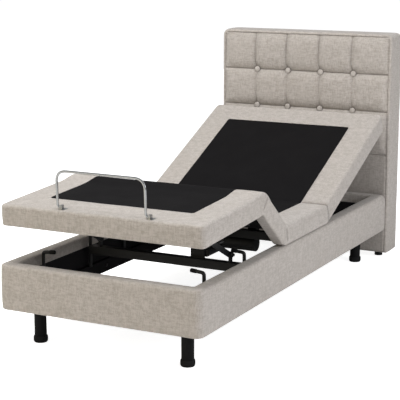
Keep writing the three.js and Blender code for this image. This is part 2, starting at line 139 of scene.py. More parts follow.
def fabric(name, light, dark, warm, pitch=0.0022, sheen=0.25):
    """Melange linen: slubs run both ways over a plain weave, with slow shifts of tone.

    A mesh's painted-shade attribute darkens its colour: painted shade where shade gathers in seams and
    creases."""
    m, nodes, links, bsdf = new_material(name)
    coords = nodes.new("ShaderNodeTexCoord")
    slub_v = noise_node(nodes, links, coords, 165, 3, (1, 1, 0.25))
    slub_h = noise_node(nodes, links, coords, 165, 3, (0.25, 0.25, 1))
    speck = noise_node(nodes, links, coords, 420, 1)
    slow = noise_node(nodes, links, coords, 5, 2)
    mix = math_node(nodes, links, "ADD", slub_v, slub_h)
    mix = math_node(nodes, links, "ADD", mix, speck)
    spread = nodes.new("ShaderNodeMapRange")
    spread.inputs["From Min"].default_value = 1.26
    spread.inputs["From Max"].default_value = 1.74
    links.new(mix, spread.inputs["Value"])
    tone = nodes.new("ShaderNodeMix")
    tone.data_type = "RGBA"
    tone.inputs["A"].default_value = (*dark, 1)
    tone.inputs["B"].default_value = (*light, 1)
    links.new(spread.outputs["Result"], tone.inputs["Factor"])
    drift = nodes.new("ShaderNodeMix")
    drift.data_type = "RGBA"
    drift.inputs["B"].default_value = (*warm, 1)
    links.new(tone.outputs["Result"], drift.inputs["A"])
    links.new(math_node(nodes, links, "MULTIPLY", slow, 0.35), drift.inputs["Factor"])
    # painted shade read from the mesh, used below to mix the colour towards a dark warm tone
    painted_shade = nodes.new("ShaderNodeAttribute")
    painted_shade.attribute_name = "painted_shade"
    sunk = nodes.new("ShaderNodeMix")
    sunk.data_type = "RGBA"
    sunk.inputs["B"].default_value = tuple(0.30 * c for c in warm) + (1,)
    links.new(drift.outputs["Result"], sunk.inputs["A"])
    links.new(painted_shade.outputs["Fac"], sunk.inputs["Factor"])
    links.new(sunk.outputs["Result"], bsdf.inputs["Base Color"])
    rough = math_node(nodes, links, "MULTIPLY_ADD", speck, 0.12, 0.84)
    links.new(rough, bsdf.inputs["Roughness"])
    height = weave_height(nodes, links, coords, pitch)
    height = math_node(nodes, links, "MULTIPLY_ADD", mix, 1.6, height)
    bump = nodes.new("ShaderNodeBump")
    bump.inputs["Strength"].default_value = 0.35
    bump.inputs["Distance"].default_value = 0.0006
    links.new(height, bump.inputs["Height"])
    links.new(bump.outputs["Normal"], bsdf.inputs["Normal"])
    bsdf.inputs["Specular IOR Level"].default_value = 0.25
    bsdf.inputs["Sheen Weight"].default_value = sheen
    bsdf.inputs["Sheen Roughness"].default_value = 0.6
    return m


def speckled(name, base, fleck, roughness, scale, bump_strength, metallic=0.0, bump_size=0.0004,
             coat=0.0, gloss=0.5):
    """One colour broken by fine flecks and a soft change of roughness: felt, paint, plastic or metal."""
    m, nodes, links, bsdf = new_material(name)
    coords = nodes.new("ShaderNodeTexCoord")
    fine = noise_node(nodes, links, coords, scale, 3)
    broad = noise_node(nodes, links, coords, 9, 3)
    tone = nodes.new("ShaderNodeMix")
    tone.data_type = "RGBA"
    tone.inputs["A"].default_value = (*base, 1)
    tone.inputs["B"].default_value = (*fleck, 1)
    links.new(fine, tone.inputs["Factor"])
    links.new(tone.outputs["Result"], bsdf.inputs["Base Color"])
    worn = math_node(nodes, links, "MULTIPLY_ADD", broad, 0.22, roughness - 0.11)
    links.new(worn, bsdf.inputs["Roughness"])
    bump = nodes.new("ShaderNodeBump")
    bump.inputs["Strength"].default_value = bump_strength
    bump.inputs["Distance"].default_value = bump_size
    links.new(fine, bump.inputs["Height"])
    links.new(bump.outputs["Normal"], bsdf.inputs["Normal"])
    bsdf.inputs["Specular IOR Level"].default_value = gloss
    bsdf.inputs["Metallic"].default_value = metallic
    bsdf.inputs["Coat Weight"].default_value = coat
    return m


LINEN = fabric("linen_greige", (0.512, 0.468, 0.436), (0.352, 0.314, 0.280), (0.425, 0.375, 0.328))
# painted highlight: the buttons get a lighter copy of the linen so they read as catching the light
LINEN_BUTTON_PAINTED_LIGHT = fabric("linen_button_painted_light", (0.560, 0.514, 0.480), (0.410, 0.370, 0.336), (0.480, 0.430, 0.385))
PANEL = speckled("panel_nonwoven", (0.0032, 0.0028, 0.0032), (0.0094, 0.0085, 0.0092),
                 roughness=0.85, scale=900, bump_strength=0.5, gloss=0.10)
LINING = speckled("lining_black", (0.008, 0.0074, 0.0082), (0.018, 0.0166, 0.0180),
                  roughness=0.92, scale=700, bump_strength=0.4, gloss=0.12)
STEEL = speckled("frame_paint_black", (0.006, 0.006, 0.0065), (0.012, 0.012, 0.0125),
                 roughness=0.46, scale=600, bump_strength=0.12, gloss=0.30)
LEG = speckled("leg_paint_black", (0.0045, 0.0045, 0.0045), (0.0075, 0.0072, 0.0078),
               roughness=0.5, scale=500, bump_strength=0.1, gloss=0.11)
PLASTIC = speckled("moulded_black", (0.006, 0.006, 0.0065), (0.012, 0.012, 0.0125),
                   roughness=0.55, scale=1200, bump_strength=0.25, gloss=0.3)
RUBBER = speckled("rubber_black", (0.006, 0.006, 0.006), (0.011, 0.011, 0.011),
                  roughness=0.8, scale=800, bump_strength=0.3, gloss=0.2)
ZINC = speckled("zinc_plate", (0.26, 0.26, 0.255), (0.42, 0.42, 0.41),
                roughness=0.36, scale=160, bump_strength=0.1, metallic=0.95)
CHROME = speckled("chrome", (0.42, 0.43, 0.44), (0.52, 0.53, 0.54),
                  roughness=0.16, scale=60, bump_strength=0.02, metallic=1.0, bump_size=0.0002, coat=0.1)


# ---------------------------------------------------------------- mesh helpers
def mesh_object(name, verts, faces, materials, face_materials=None, rounded=True, painted_shade=None):
    """A mesh with its faces pointing out. Its last argument holds the cloth's painted shade, one value per
    vertex.
    """
    mesh = bpy.data.meshes.new(name)
    mesh.from_pydata([tuple(v) for v in verts], [], faces)
    if painted_shade:
        layer = mesh.attributes.new("painted_shade", "FLOAT", "POINT")
        layer.data.foreach_set("value", painted_shade)
    for m in materials:
        mesh.materials.append(m)
    if face_materials:
        mesh.polygons.foreach_set("material_index", face_materials)
    bm = bmesh.new()
    bm.from_mesh(mesh)
    bmesh.ops.remove_doubles(bm, verts=bm.verts, dist=1e-6)
    bmesh.ops.recalc_face_normals(bm, faces=bm.faces)
    for f in bm.faces:
        f.smooth = rounded
    bm.to_mesh(mesh)
    bm.free()
    obj = bpy.data.objects.new(name, mesh)
    bpy.context.scene.collection.objects.link(obj)
    return obj


def sharp_by_angle(obj, degrees=40):
    """Edges steeper than the angle stay crisp, the rest shade smoothly."""
    bm = bmesh.new()
    bm.from_mesh(obj.data)
    for e in bm.edges:
        e.smooth = not (len(e.link_faces) == 2 and e.calc_face_angle(0) > math.radians(degrees))
    bm.to_mesh(obj.data)
    bm.free()
    return obj


def loft(name, rings, materials, pick=None, closed_path=False, painted_shade=None):
    """Skin a list of equal rings, capped at both ends unless its path is closed.

    pick(ring, segment) gives the material of a face."""
    count = len(rings[0])
    verts = [v for ring in rings for v in ring]
    faces, chosen = [], []
    spans = len(rings) if closed_path else len(rings) - 1
    for i in range(spans):
        a, b = i * count, ((i + 1) % len(rings)) * count
        for j in range(count):
            k = (j + 1) % count
            faces.append((a + j, a + k, b + k, b + j))
            chosen.append(pick(i, j) if pick else 0)
    if not closed_path:
        faces.append(tuple(range(count)))
        faces.append(tuple(reversed(range(len(verts) - count, len(verts)))))
        chosen += [0, 0]
    return mesh_object(name, verts, faces, materials, chosen, painted_shade=painted_shade)


def arc(cx, cz, r, start, end, steps):
    """Points of an arc, angles in degrees, both ends included."""
    out = []
    for i in range(steps + 1):
        a = math.radians(start + (end - start) * i / steps)
        out.append((cx + r * math.cos(a), cz + r * math.sin(a)))
    return out


def spaced(a, b, steps):
    return [a + (b - a) * i / steps for i in range(steps + 1)]


def smooth(t):
    t = min(max(t, 0.0), 1.0)
    return t * t * (3 - 2 * t)


LATHE_POINT = 1e-5               # radius of a lathed piece's end on its axis


def lathe(name, profile, material, origin, axis, segments):
    """Turn a profile of (radius, height) about an axis through origin."""
    turn = Vector((0, 0, 1)).rotation_difference(Vector(axis).normalized()).to_matrix()
    rings = []
    for r, h in profile:
        ring = []
        for i in range(segments):
            a = 2 * math.pi * i / segments
            r = max(r, LATHE_POINT)
            ring.append(turn @ Vector((r * math.cos(a), r * math.sin(a), h)) + Vector(origin))
        rings.append(ring)
    return sharp_by_angle(loft(name, rings, [material]), 35)


def tube(name, points, radius, material, segments, resolution):
    """A round rod or cord along a smooth path, turned into a mesh."""
    curve = bpy.data.curves.new(name, "CURVE")
    curve.dimensions = "3D"
    curve.bevel_depth = radius
    curve.bevel_resolution = segments // 4
    curve.resolution_u = resolution
    curve.use_fill_caps = True
    spline = curve.splines.new("NURBS")
    spline.points.add(len(points) - 1)
    for p, co in zip(spline.points, points):
        p.co = (*co, 1)
    spline.order_u = 3
    spline.use_endpoint_u = True
    temp = bpy.data.objects.new(name + "_curve", curve)
    bpy.context.scene.collection.objects.link(temp)
    bpy.context.view_layer.update()
    mesh = bpy.data.meshes.new_from_object(temp.evaluated_get(bpy.context.evaluated_depsgraph_get()))
    bpy.data.objects.remove(temp)
    mesh.name = name
    mesh.materials.clear()
    mesh.materials.append(material)
    for p in mesh.polygons:
        p.use_smooth = True
    obj = bpy.data.objects.new(name, mesh)
    bpy.context.scene.collection.objects.link(obj)
    return obj


def rounded_loop(half, low, high, low_corner, high_corner, side_steps, end_steps):
    """Counter-clockwise rounded rectangle, as pairs. A corner is its radius and its number of steps."""
    (r, n), (r_high, n_high) = low_corner, high_corner

    def edge(a, b, steps):
        shares = [i / steps for i in range(1, steps)]
        return [(a[0] + (b[0] - a[0]) * t, a[1] + (b[1] - a[1]) * t) for t in shares]
    loop = arc(half - r, low + r, r, -90, 0, n)
    loop += edge((half, low + r), (half, high - r_high), side_steps)
    loop += arc(half - r_high, high - r_high, r_high, 0, 90, n_high)
    loop += edge((half - r_high, high), (-half + r_high, high), end_steps)
    loop += arc(-half + r_high, high - r_high, r_high, 90, 180, n_high)
    loop += edge((-half, high - r_high), (-half, low + r), side_steps)
    loop += arc(-half + r, low + r, r, 180, 270, n)
    loop += edge((-half + r, low), (half - r, low), end_steps)
    return loop


def ripple(x, y, z, size):
    return noise.noise(Vector((x * 7, y * 7, z * 7))) * size


def end_inset(t, r):
    """How far a rounded edge of radius r has drawn in at distance t from its end."""
    t = min(max(t, 0.0), r)
    return r - math.sqrt(max(r * r - (r - t) ** 2, 0.0))


def fitted(obj, body):
    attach(obj, body)
    return obj


def paint(nodes, material):
    for n in nodes:
        obj = bpy.data.objects[n]
        obj.data.materials.clear()
        obj.data.materials.append(material)


# ---------------------------------------------------------------- raising flat points to the rest pose
FOLD_HALF = 0.022                # half width of a fold along the deck
KNEE_HALF = 0.034
FOLD_HEIGHT = 0.385              # level at which a fold's two ends are taken


def turned(y, z, pivot, degrees):
    c, s = math.cos(math.radians(degrees)), math.sin(math.radians(degrees))
    dy, dz = y - pivot[0], z - pivot[1]
    return pivot[0] + dy * c - dz * s, pivot[1] + dy * s + dz * c


def raise_back(x, y, z):
    w = smooth((y - BACK_PIVOT[0] + FOLD_HALF) / (2 * FOLD_HALF))
    y, z = turned(y, z, BACK_PIVOT, BACK_TILT * w)
    return Vector((x, y + FOOT, z))


def raise_thigh(x, y, z):
    w = smooth((THIGH_PIVOT[0] + FOLD_HALF - y) / (2 * FOLD_HALF))
    y, z = turned(y, z, THIGH_PIVOT, THIGH_TILT * w)
    return Vector((x, y + FOOT, z))


def raise_calf(x, y, z):
    w = smooth((KNEE_PIVOT[0] + KNEE_HALF - y) / (2 * KNEE_HALF))
    y, z = turned(y, z, KNEE_PIVOT, KNEE_FOLD * w)
    y, z = turned(y, z, THIGH_PIVOT, THIGH_TILT)
    return Vector((x, y + FOOT, z))


RAISE = {"back": raise_back, "thigh": raise_thigh, "calf": raise_calf}
JOIN = {                       # body before and after the fold, pivot, half width, +1 if it leads to the head
    "back": ("base", "back", BACK_PIVOT, FOLD_HALF, 1),
    "thigh": ("base", "thigh", THIGH_PIVOT, FOLD_HALF, -1),
    "calf": ("thigh", "calf", KNEE_PIVOT, KNEE_HALF, -1),
}


def blend_fold(obj, fold):
    """Bakes the piece's transform into its mesh. The fold's two ends are worked out, but the piece is not
    tied to the sections on either side of the fold.
    """
    a, b, pivot, half, way = JOIN[fold]
    start = RAISE[fold](0, pivot[0] - way * half, FOLD_HEIGHT)
    end = RAISE[fold](0, pivot[0] + way * half, FOLD_HEIGHT)
    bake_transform(obj)


# ---------------------------------------------------------------- deck upholstery
SIDE_TOP_RADIUS = 0.013
SIDE_LOW_RADIUS = 0.007
SIDE_STEPS = 9
SIDE_BULGE = 0.0014
PLAN_RADIUS = 0.024              # the deck's corners, seen from above
ROLL_RADIUS = 0.012              # the deck's ends, seen from the side
END_WALL = 0.045                 # thickness of the closed wall at an end
END_SKIN = 0.0003
TOP_X = (-0.40, -0.37, -0.345, -0.331, -0.3265, -0.3245, -0.32, -0.27, -0.2, -0.13, -0.06, 0.0)
BORDER_SWELL = 0.0012
PAD_RIPPLE = 0.0009
CROWN_HEIGHT = 0.0075
CROWN_SHIFT = 0.018              # the crown's top lies this far from the knee, towards the foot
CROWN_FOOT_REACH = 0.050
CROWN_THIGH_REACH = 0.034
FURROW_BOW = 0.006
STATION_PITCH = 0.018
FOLD_STATIONS = 44
END_STATIONS = (0.0, 0.0007, 0.002, 0.004, 0.007, 0.012, 0.018, 0.024, 0.0449, 0.0452)
CORNER_SHARES = (0.04, 0.15, 0.35, 0.6, 1.0)
PANEL_EDGE = 0.0006              # gap beside the panel, and how far its edge is pressed down
PANEL_RIPPLE = 0.0007
PANEL_NOISE_PLANE = 3.0


def knee_crown(y):
    """The padding swells over the knee, mostly towards the foot."""
    d = y - KNEE_PIVOT[0] + CROWN_SHIFT
    reach = CROWN_FOOT_REACH if d < 0 else CROWN_THIGH_REACH
    return CROWN_HEIGHT * math.exp(-(d / reach) ** 2)


def tray_outline(side, roll, ceiling_level, in_pocket, crown):
    """Outline (x, z) of a padded section: its outside from the left round to the right, and its underside."""
    top, low = DECK_TOP - roll + crown, DECK_BOTTOM + roll * 0.6
    ceiling = ceiling_level or low + END_SKIN
    rim = HALF - RIM
    r, q = SIDE_TOP_RADIUS, SIDE_LOW_RADIUS
    left = [(-rim, low)]
    left += arc(-side + q, low + q, q, -90, -180, 3)
    for i in range(1, SIDE_STEPS):
        t = i / SIDE_STEPS
        z = (low + q) + (top - r - low - q) * t
        left.append((-side - SIDE_BULGE * math.sin(math.pi * t), z))
    left += arc(-side + r, top - r, r, 180, 90, 5)
    middle = []
    for x in TOP_X + tuple(-x for x in reversed(TOP_X[:-1])):
        swell = max(0.0, 1 - ((abs(x) - BORDER_MID) / BORDER_SPAN) ** 2) if abs(x) > PANEL_HALF else 0.0
        sunk = in_pocket and abs(x) < POCKET_HALF
        middle.append((x, (top - (DECK_TOP - POCKET_FLOOR) if sunk else top) + BORDER_SWELL * swell))
    right = [(-x, z) for x, z in reversed(left)]
    under = [(x, ceiling) for x in (rim, 0.2, 0.0, -0.2, -rim)]
    return left + middle + right, under


def tray_ring(y, end_distance, in_pocket, crease, crown):
    """One cross-section of a deck cover, open underneath between its rims. Gives its points and their painted
    shade, and the number of points on the outside."""
    side = HALF - end_inset(end_distance, PLAN_RADIUS)
    roll = end_inset(end_distance, ROLL_RADIUS)
    ceiling = CEILING if end_distance > END_WALL else None
    outside, under = tray_outline(side, roll, ceiling, in_pocket, crown)
    points, shades = [], []
    for x, z in outside + under:
        soft = ripple(x, y, z, PAD_RIPPLE) if z > CEILING + 0.002 or abs(x) > HALF - RIM else 0.0
        creased = z > CEILING or abs(x) > HALF - 0.012
        rise, spread, shade = crease(x, y, z) if creased else (0.0, 0.0, 0.0)
        shades.append(shade)
        if abs(x) >= side - 0.004:
            points.append((x + math.copysign(1, x) * (soft * 0.8 + spread), y, z))
        else:
            points.append((x, y, z + (soft + rise if z > CEILING + 0.01 else 0.0)))
    return points, shades, len(outside)


def fold_crease(pivot, top_depth, side_depth, centre, slant, reach):
    """Cloth gathered at a fold: a furrow over the top border and a crease running down the side.

    reach is where the side's crease starts and ends, as shares of the deck's thickness from the top. The
    function returned gives a point's rise, its move outwards and its painted shade, a darkening along the
    furrow and the crease."""
    def shape(x, y, z):
        d = y - pivot[0]
        rise, spread, shade = 0.0, 0.0, 0.0
        if abs(x) > PANEL_HALF + 0.002:
            inward = smooth((abs(x) - PANEL_HALF) / 0.02)
            off = d - FURROW_BOW * ((abs(x) - BORDER_MID) / BORDER_SPAN) ** 2
            rise = -top_depth * inward * math.exp(-(off / 0.0045) ** 2)
            rise += 0.55 * top_depth * inward * math.exp(-((off - 0.016) / 0.011) ** 2)
            # painted shade darkening the bottom of the furrow
            if top_depth > 0.003 and abs(x) > PANEL_HALF + 0.004:
                shade = 0.62 * math.exp(-(off / 0.0055) ** 2)
        if abs(x) > HALF - 0.016:
            drop = (DECK_TOP - z) / (DECK_TOP - DECK_BOTTOM)
            lo, hi = reach
            window = smooth((drop - lo) / 0.15 + 0.5) * smooth((hi - drop) / 0.15 + 0.5)
            c = d - centre - slant * drop
            spread = window * side_depth * (0.5 * math.exp(-(c / 0.013) ** 2) - math.exp(-(c / 0.0038) ** 2))
            # painted shade darkening the side crease
            shade = max(shade, 0.55 * window * math.exp(-(c / 0.0036) ** 2))
        return rise, spread, shade
    return shape


def stations(lo, hi, fold, half, low_end=False, high_end=False):
    """Distances of the cross-sections, close together at the fold and at the deck's ends."""
    zone = half + 0.03
    ys = {round(y, 5) for y in spaced(lo, hi, int((hi - lo) / STATION_PITCH))}
    ys = {y for y in ys if abs(y - fold) > zone}
    ys |= {round(y, 5) for y in spaced(fold - zone, fold + zone, FOLD_STATIONS)}
    for e in END_STATIONS:
        if low_end:
            ys.add(round(lo + e, 5))
        if high_end:
            ys.add(round(hi - e, 5))
    return sorted(y for y in ys if lo <= y <= hi)


def crown_at(fold, y):
    return knee_crown(y) if fold == "calf" else 0.0


def deck_cover(fold, lo, hi, crease, pocket=(-math.inf, math.inf), low_end=False, high_end=False):
    """The cloth over one fold, from lo to hi, closed by a wall at an end of the deck."""
    _, _, pivot, half, _ = JOIN[fold]
    ys = stations(lo, hi, pivot[0], half, low_end, high_end)
    for edge in pocket:
        if lo < edge < hi:
            ys = sorted(set(ys) | {edge - 0.001, edge + 0.001})
    rings, outer, distances, painted_shade = [], 0, [], []
    for y in ys:
        distance = 1.0
        if low_end:
            distance = min(distance, y - lo)
        if high_end:
            distance = min(distance, hi - y)
        distances.append(distance)
        flat, shades, outer = tray_ring(y, distance, pocket[0] < y < pocket[1], crease, crown_at(fold, y))
        rings.append([RAISE[fold](*p) for p in flat])
        # painted shade of each point, darkening the fold's furrow and side crease
        painted_shade += shades

    def pick(i, j):
        underside = j >= outer - 1
        return 1 if underside and min(distances[i], distances[i + 1]) > 0.04 else 0
    cover = loft(f"{fold}_cover", rings, [LINEN, LINING], pick, painted_shade=painted_shade)
    sharp_by_angle(cover, 55)
    blend_fold(cover, fold)
    return cover


def panel_strip(fold, lo, hi, rounded_low=0.0, rounded_high=0.0):
    """Black non-woven panel, 2 mm thick, let into the cover."""
    _, _, pivot, half, _ = JOIN[fold]
    ys = stations(lo, hi, pivot[0], half)
    for r, sign, end in ((rounded_low, 1, lo), (rounded_high, -1, hi)):
        if r:
            ys += [end + sign * r * share for share in CORNER_SHARES]
    ys = sorted(set(round(y, 5) for y in ys))
    rings = []
    for y in ys:
        inset = 0.0
        if rounded_low:
            inset = max(inset, end_inset(y - lo, rounded_low))
        if rounded_high:
            inset = max(inset, end_inset(hi - y, rounded_high))
        w = PANEL_HALF - PANEL_EDGE - inset
        crown = crown_at(fold, y)
        xs = [-w, -w + 0.002, -0.2, -0.1, 0, 0.1, 0.2, w - 0.002, w]
        tops = []
        for x in xs:
            edge = PANEL_EDGE if abs(x) > w - 0.001 else 0.0
            tops.append((x, y, PANEL_TOP - edge + crown + ripple(x, y, PANEL_NOISE_PLANE, PANEL_RIPPLE)))
        lows = [(x, y, PANEL_LOW + crown) for x in reversed(xs)]
        rings.append([RAISE[fold](*p) for p in tops + lows])
    strip = loft(f"{fold}_panel_cloth", rings, [PANEL])
    sharp_by_angle(strip, 50)
    blend_fold(strip, fold)
    return strip


calf_crease = fold_crease(KNEE_PIVOT, 0.0, 0.0050, 0.012, -0.030, (0.10, 0.75))
thigh_crease = fold_crease(THIGH_PIVOT, 0.002, 0.0055, -0.012, 0.030, (0.18, 0.80))
back_crease = fold_crease(BACK_PIVOT, 0.0060, 0.0020, 0.004, -0.010, (0.0, 0.12))
calf_cover = deck_cover("calf", DECK_FOOT, MID_THIGH, calf_crease, (POCKET_FOOT, math.inf), low_end=True)
thigh_cover = deck_cover("thigh", MID_THIGH, MID_SEAT, thigh_crease)
back_cover = deck_cover("back", MID_SEAT, DECK_HEAD, back_crease, (-math.inf, POCKET_HEAD), high_end=True)
calf_strip = panel_strip("calf", PANEL_FOOT, MID_THIGH, rounded_low=0.024)
thigh_strip = panel_strip("thigh", MID_THIGH, MID_SEAT)
back_strip = panel_strip("back", MID_SEAT, PANEL_HEAD, rounded_high=0.008)
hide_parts("calf_board", "calf_side_left", "calf_side_right", "calf_end_member")
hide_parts("thigh_board", "thigh_side_left", "thigh_side_right",
            "seat_board", "seat_side_left", "seat_side_right")
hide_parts("back_board", "back_side_left", "back_side_right", "back_end_member")
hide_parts("calf_panel")
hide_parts("thigh_panel", "seat_panel")
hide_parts("back_panel")

# ---------------------------------------------------------------- upholstered box
BOX_HEAD = FOOT + 2.040
BOX_LOW = 0.150
BOX_TOP = 0.335
BOX_WALL = 0.060
BOX_TOP_RADIUS = 0.013           # outer round of the top edge
BOX_INNER_RADIUS = 0.010         # inner round of the top edge
BOX_LOW_RADIUS = 0.007
BOX_FOOT_CORNER = 0.034
BOX_HEAD_CORNER = 0.003
BOX_HEAD_DROOP = 0.032           # radius by which the sides' top rounds off at the head
LINING_TOP = 0.2895              # the black lining starts here, inside


def plan_loop(inset, z, bulge=0.0):
    """Counter-clockwise rounded rectangle, pulled in by inset, with rounder corners at the foot."""
    low_corner = (max(BOX_FOOT_CORNER - inset, BOX_HEAD_CORNER), 6)
    pairs = rounded_loop(HALF - inset + bulge, FOOT + inset - bulge, BOX_HEAD - inset,
                         low_corner, (BOX_HEAD_CORNER, 2), 60, 24)
    return [Vector((x, y, z)) for x, y in pairs]


def box_levels():
    """Inset, height and bulge of each loop, from the low edge up the outside, over the top and down inside.
    Also the number of the first lined loop."""
    r = BOX_LOW_RADIUS
    levels = [(inset, z, 0.0) for inset, z in arc(r, BOX_LOW + r, r, -90, -180, 3)]
    side_top = BOX_TOP - BOX_TOP_RADIUS
    for z in spaced(BOX_LOW + 0.012, side_top - 0.004, 8):
        t = (z - BOX_LOW) / (side_top - BOX_LOW)
        levels.append((0.0, z, 0.0015 * math.sin(math.pi * t)))
    levels += [(inset, z, 0.0) for inset, z in arc(BOX_TOP_RADIUS, side_top, BOX_TOP_RADIUS, 180, 90, 5)]
    levels += [(inset, BOX_TOP + 0.0006, 0.0) for inset in (0.022, 0.036)]
    r = BOX_INNER_RADIUS
    levels += [(inset, z, 0.0) for inset, z in arc(BOX_WALL - r, BOX_TOP - r, r, 90, 0, 4)]
    levels += [(BOX_WALL, z, 0.0) for z in (0.31, 0.291, LINING_TOP)]
    lined = len(levels) - 1
    levels += [(BOX_WALL, z, 0.0) for z in (0.24, 0.19, BOX_LOW + 0.004)]
    levels.append((BOX_WALL - 0.004, BOX_LOW, 0.0))
    return levels, lined


def build_box():
    levels, lined = box_levels()
    rings = []
    for inset, z, bulge in levels:
        ring = plan_loop(inset, z, bulge)
        for p in ring:
            soft = 0.0012 if z > BOX_LOW + 0.01 and inset < BOX_WALL - 0.001 else 0.0
            n = noise.noise(p * 6.0) * soft
            if inset < BOX_WALL + 0.001:
                droop = end_inset(BOX_HEAD - p.y, BOX_HEAD_DROOP)
                p.z -= droop * smooth((z - (BOX_TOP - 0.07)) / 0.07)
            side = abs(p.x) > HALF - 0.03
            p.x += math.copysign(n, p.x) if side else 0.0
            p.y -= n if p.y < FOOT + 0.03 else 0.0
            if z > BOX_TOP - 0.004:
                p.z += n * 0.7
        rings.append(ring)
    box = loft("box_cover", rings, [LINEN, LINING], lambda i, j: 1 if i >= lined else 0, closed_path=True)
    sharp_by_angle(box, 50)
    fitted(box, "base")
    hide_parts("foot_rail", "head_rail", "side_rail_left", "side_rail_right")


build_box()

# ---------------------------------------------------------------- headboard
BUTTON_X = (-0.266, -0.094, 0.084, 0.260)
BUTTON_Z = (0.930, 0.745)
PLAIN_SEAM_Z = 0.530
CUSHION_HALF = 0.4470
CUSHION_TOP = 1.1175
CUSHION_LOW = 0.038
CUSHION_BACK = 0.971
SEAM_PLANE = HEAD_FRONT + 0.0050  # depth that the tufting rises from
SEAMS = (                        # height of a sewn line across, its depth and its painted shade
    (BUTTON_Z[0], 0.0075, 0.50),
    (BUTTON_Z[1], 0.0075, 0.50),
    (PLAIN_SEAM_Z, 0.0055, 0.35),
)
PAD_RISE = 0.0105
BUTTON_DIMPLE = 0.0075
DIMPLE_REACH = 0.024
FOLD_DEPTH = 0.0095
FOLD_WIDTH = 0.0042
SEAM_WIDTH = 0.0026
PLAIN_PAD = 0.0030               # rise of the flat lower part, which the deck passes close by
COLUMN_EDGES = (-CUSHION_HALF, *BUTTON_X, CUSHION_HALF)
ROW_EDGES = (CUSHION_LOW, PLAIN_SEAM_Z, BUTTON_Z[1], BUTTON_Z[0], CUSHION_TOP)


def cell(value, edges):
    """Position between the two edges on either side, from 0 to 1."""
    for a, b in zip(edges, edges[1:]):
        if value <= b:
            return (value - a) / (b - a)
    return 1.0


def pillow(t, sharpness):
    """Height of a stuffed cell, from 0 at its edges to 1 in the middle."""
    return 1 - abs(2 * t - 1) ** sharpness


def furrow(distance, depth, width):
    """A sewn or folded line: narrow at the bottom, easing out to the padding on each side."""
    return depth * (0.6 * math.exp(-abs(distance) / width) + 0.4 * math.exp(-(distance / (3.2 * width)) ** 2))


def fold_offset(x, z, bx):
    """Sideways distance from the soft fold that runs through a column of buttons."""
    d = x - bx
    if z > BUTTON_Z[0]:
        t = (z - BUTTON_Z[0]) / (CUSHION_TOP - BUTTON_Z[0])
        return d + 0.010 * smooth(t / 0.22) - 0.004 * smooth((t - 0.4) / 0.6)
    if z > BUTTON_Z[1]:
        t = (z - BUTTON_Z[1]) / (BUTTON_Z[0] - BUTTON_Z[1])
        return d + 0.004 * math.sin(math.pi * t)
    return d


def fold_pull(z):
    """How hard the buttons pull the fold in, at one height."""
    if z > BUTTON_Z[0]:
        return 1.0 - 0.30 * (z - BUTTON_Z[0]) / (CUSHION_TOP - BUTTON_Z[0])
    if z > BUTTON_Z[1]:
        t = (z - BUTTON_Z[1]) / (BUTTON_Z[0] - BUTTON_Z[1])
        return 0.28 + 0.42 * abs(2 * t - 1) ** 1.6
    return 0.5 * smooth(1 - (BUTTON_Z[1] - z) / 0.09)


CLOTH_PITCH = 0.006
CLOTH_LOW = PLAIN_SEAM_Z
CLOTH_FRAMES = 20
CLOTH_DETAIL = 0.0028            # most that a simulated wrinkle may move the surface
CLOTH_REACH = 5                  # cells on each side over which a wrinkle's height is compared
BUTTON_HOLD = 0.011              # radius of cloth held still by a button


def held_share(x, z, on_rim):
    """How firmly a point of the cloth is held: 1 at the rim and the buttons, nearly so along a seam."""
    if on_rim or min(math.hypot(x - bx, z - bz) for bx in BUTTON_X for bz in BUTTON_Z) < BUTTON_HOLD:
        return 1.0
    return 0.9 if min(abs(z - row) for row in BUTTON_Z) < CLOTH_PITCH * 0.5 else 0.0


def cloth_field(xs, zs):
    """A flat sheet with its held points, set to swell under a light pressure."""
    nx, nz = len(xs), len(zs)
    verts = [(x, 0.0, z) for z in zs for x in xs]
    faces = [(j * nx + i, j * nx + i + 1, (j + 1) * nx + i + 1, (j + 1) * nx + i)
             for j in range(nz - 1) for i in range(nx - 1)]
    mesh = bpy.data.meshes.new("cloth_field")
    mesh.from_pydata(verts, [], faces)
    field = bpy.data.objects.new("cloth_field", mesh)
    bpy.context.scene.collection.objects.link(field)
    pins = field.vertex_groups.new(name="held")
    for n, (x, _, z) in enumerate(verts):
        held = held_share(x, z, n % nx in (0, nx - 1) or n // nx in (0, nz - 1))
        if held:
            pins.add([n], held, "REPLACE")
    cloth = field.modifiers.new("cloth", "CLOTH")
    settings = cloth.settings
    settings.quality = 5
    settings.mass = 0.25
    settings.tension_stiffness = settings.compression_stiffness = 12
    settings.shear_stiffness = 4
    settings.bending_stiffness = 0.25
    settings.shrink_min = settings.shrink_max = -0.022
    settings.use_pressure = True
    settings.uniform_pressure_force = 4
    settings.vertex_group_mass = "held"
    settings.pin_stiffness = 1.0
    settings.effector_weights.gravity = 0.0
    cloth.point_cache.frame_start, cloth.point_cache.frame_end = 1, CLOTH_FRAMES
    return field


def wrinkles(heights):
    """What is left of each height without the broad swell round it, within CLOTH_DETAIL."""
    nz, nx, reach = len(heights), len(heights[0]), CLOTH_REACH
    detail = []
    for j in range(nz):
        line = []
        for i in range(nx):
            near = [heights[b][a] for b in range(max(0, j - reach), min(nz, j + reach + 1), 2)
                    for a in range(max(0, i - reach), min(nx, i + reach + 1), 2)]
            line.append(min(max(heights[j][i] - sum(near) / len(near), -CLOTH_DETAIL), CLOTH_DETAIL))
        detail.append(line)
    return detail


